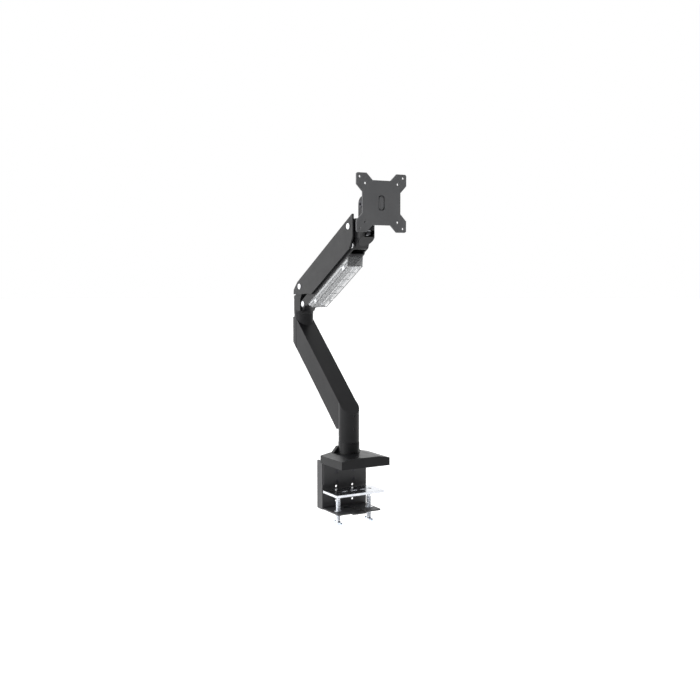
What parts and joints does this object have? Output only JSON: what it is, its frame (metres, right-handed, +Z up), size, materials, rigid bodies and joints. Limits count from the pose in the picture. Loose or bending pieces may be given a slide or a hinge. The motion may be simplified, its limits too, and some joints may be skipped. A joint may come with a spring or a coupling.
{
  "type": "monitor arm",
  "caption": "Desk-clamp monitor arm: swivelling lower arm, gas-spring parallelogram upper arm, and a head that swivels, tilts and rolls a VESA screen plate.",
  "frame": {"origin": "where the axis of the base swivel meets the top of the desk, on the underside of the rubber pad", "axes": "+Z up, -Y towards the person in front of the screen, +Y behind the desk edge, +X to the viewer's right"},
  "size_m": [0.116, 0.358, 0.7221],
  "materials": {
    "bearing_plastic": "polished",
    "black_cast": "satin paint on cast metal",
    "black_powder": "fine satin powder coat",
    "black_steel": "black oxide",
    "bright_steel": "machined",
    "bush_plastic": "natural",
    "cable_cover_plastic": "satin",
    "clear_plastic": "clear",
    "cover_plastic": "fine grain",
    "handle_steel": "bluish bright plated",
    "nickel": "bright nickel plated",
    "pad_rubber": "matte",
    "plate_powder": "matte powder coat",
    "rod_chrome": "ground and plated",
    "spring_paint": "gloss",
    "zinc_plate": "bright zinc plated"
  },
  "bodies": {
    "base": {"desk_pad": "pad_rubber", "base_plate": "black_powder", "base_cover": "cover_plastic", "base_post": "black_cast", "post_bolts": "bright_steel", "swivel_stud": "bright_steel", "lower_bracket": "black_powder", "bracket_screws": "black_steel", "bracket_nuts": "bright_steel", "clamp_nuts": "zinc_plate"},
    "clamp_plate": {"pressure_plate": "zinc_plate", "screw_feet": "zinc_plate"},
    "screw_left": {"clamp_screw_left": "zinc_plate"},
    "screw_right": {"clamp_screw_right": "zinc_plate"},
    "bar_left": {"tommy_bar_left": "handle_steel"},
    "bar_right": {"tommy_bar_right": "handle_steel"},
    "lower_arm": {"lower_arm": "black_cast", "lower_cable_cover": "cable_cover_plastic", "hub_screws": "black_steel", "hub_bush": "bearing_plastic", "elbow_bush_top": "bearing_plastic", "elbow_bush_low": "bearing_plastic"},
    "elbow": {"elbow_bracket": "black_cast", "elbow_shaft": "bright_steel", "elbow_washer": "bright_steel", "elbow_bolt": "black_steel", "elbow_pin_upper": "nickel", "elbow_pin_lower": "nickel", "spring_trunnion": "bright_steel", "tension_screw": "black_steel"},
    "main_link": {"main_link": "black_powder", "spring_pin": "bright_steel", "head_pin_upper": "nickel", "link_bushes": "bush_plastic"},
    "lower_link": {"lower_link": "black_powder", "clear_cover": "clear_plastic", "cover_screws": "bright_steel"},
    "spring_tube": {"spring_tube": "spring_paint", "spring_gland": "bright_steel"},
    "spring_rod": {"spring_rod": "rod_chrome", "spring_eye": "bright_steel"},
    "knuckle": {"head_knuckle": "black_cast", "head_pin_lower": "nickel", "swivel_bush": "bearing_plastic", "friction_screw": "nickel"},
    "yoke": {"tilt_yoke": "black_powder", "swivel_shaft": "bright_steel", "swivel_nut": "black_steel", "swivel_washer": "bright_steel", "tilt_bolt": "black_steel", "tilt_nut": "black_steel", "tilt_washers": "bright_steel"},
    "tilt_head": {"tilt_block": "black_cast", "roll_bolt": "bright_steel", "roll_washer": "bearing_plastic"},
    "screen_plate": {"vesa_hub": "black_cast", "vesa_plate": "plate_powder", "plate_cap": "plate_powder", "plate_screws": "black_steel"}
  },
  "joints": [
    {"name": "clamp_travel", "type": "slide", "parent": "base", "child": "clamp_plate", "axis": [0, 0, 1], "range_m": [-0.02, 0.0135]},
    {"name": "screw_left_turn", "type": "hinge", "parent": "clamp_plate", "child": "screw_left", "pos_m": [-0.0373, -0.02, -0.09], "axis": [0, 0, 1], "range_deg": [-4805, 3245]},
    {"name": "bar_left_slide", "type": "slide", "parent": "screw_left", "child": "bar_left", "axis": [0, 1, 0], "range_m": [-0.0045, 0.0045]},
    {"name": "screw_right_turn", "type": "hinge", "parent": "clamp_plate", "child": "screw_right", "pos_m": [0.0373, -0.02, -0.09], "axis": [0, 0, 1], "range_deg": [-4805, 3245]},
    {"name": "bar_right_slide", "type": "slide", "parent": "screw_right", "child": "bar_right", "axis": [0, 1, 0], "range_m": [-0.0045, 0.0045]},
    {"name": "base_swivel", "type": "hinge", "parent": "base", "child": "lower_arm", "pos_m": [0, 0, 0.045], "axis": [0, 0, 1], "range_deg": [-180, 180]},
    {"name": "elbow_swivel", "type": "hinge", "parent": "lower_arm", "child": "elbow", "pos_m": [0, 0.206, 0.30909], "axis": [0, 0, 1], "range_deg": [-180, 180]},
    {"name": "arm_lift", "type": "hinge", "parent": "elbow", "child": "main_link", "pos_m": [0, 0.1824, 0.37099], "axis": [-1, 0, 0], "range_deg": [-60, 20]},
    {"name": "lower_link_swing", "type": "hinge", "parent": "elbow", "child": "lower_link", "pos_m": [0, 0.1765, 0.33229], "axis": [-1, 0, 0], "range_deg": [-60.5, 20.5]},
    {"name": "spring_swing", "type": "hinge", "parent": "elbow", "child": "spring_tube", "pos_m": [0, 0.1806, 0.35909], "axis": [-1, 0, 0], "range_deg": [-60.5, 20.5]},
    {"name": "spring_stroke", "type": "slide", "parent": "spring_tube", "child": "spring_rod", "axis": [0, -0.8529, 0.5221], "range_m": [-0.0122, 0.0042]},
    {"name": "head_level", "type": "hinge", "parent": "main_link", "child": "knuckle", "pos_m": [0, -0.03671, 0.49647], "axis": [-1, 0, 0], "range_deg": [-20.5, 60.5]},
    {"name": "head_swivel", "type": "hinge", "parent": "knuckle", "child": "yoke", "pos_m": [0, -0.07251, 0.51197], "axis": [0, 0, 1], "range_deg": [-90, 90]},
    {"name": "head_tilt", "type": "hinge", "parent": "yoke", "child": "tilt_head", "pos_m": [0, -0.08201, 0.53897], "axis": [-1, 0, 0], "range_deg": [-20, 75]},
    {"name": "head_roll", "type": "hinge", "parent": "tilt_head", "child": "screen_plate", "pos_m": [0, -0.13001, 0.53897], "axis": [0, -1, 0], "range_deg": [-180, 180]}
  ],
  "couplings": [
    {"joint": "screw_left_turn", "follows": "clamp_travel", "rad_per_m": 4188.8},
    {"joint": "screw_right_turn", "follows": "clamp_travel", "rad_per_m": 4188.8},
    {"joint": "lower_link_swing", "follows": "arm_lift", "ratio": 1},
    {"joint": "spring_swing", "follows": "arm_lift", "ratio": 1},
    {"joint": "spring_stroke", "follows": "arm_lift", "m_per_rad": 0.0113},
    {"joint": "head_level", "follows": "arm_lift", "ratio": -1}
  ]
}
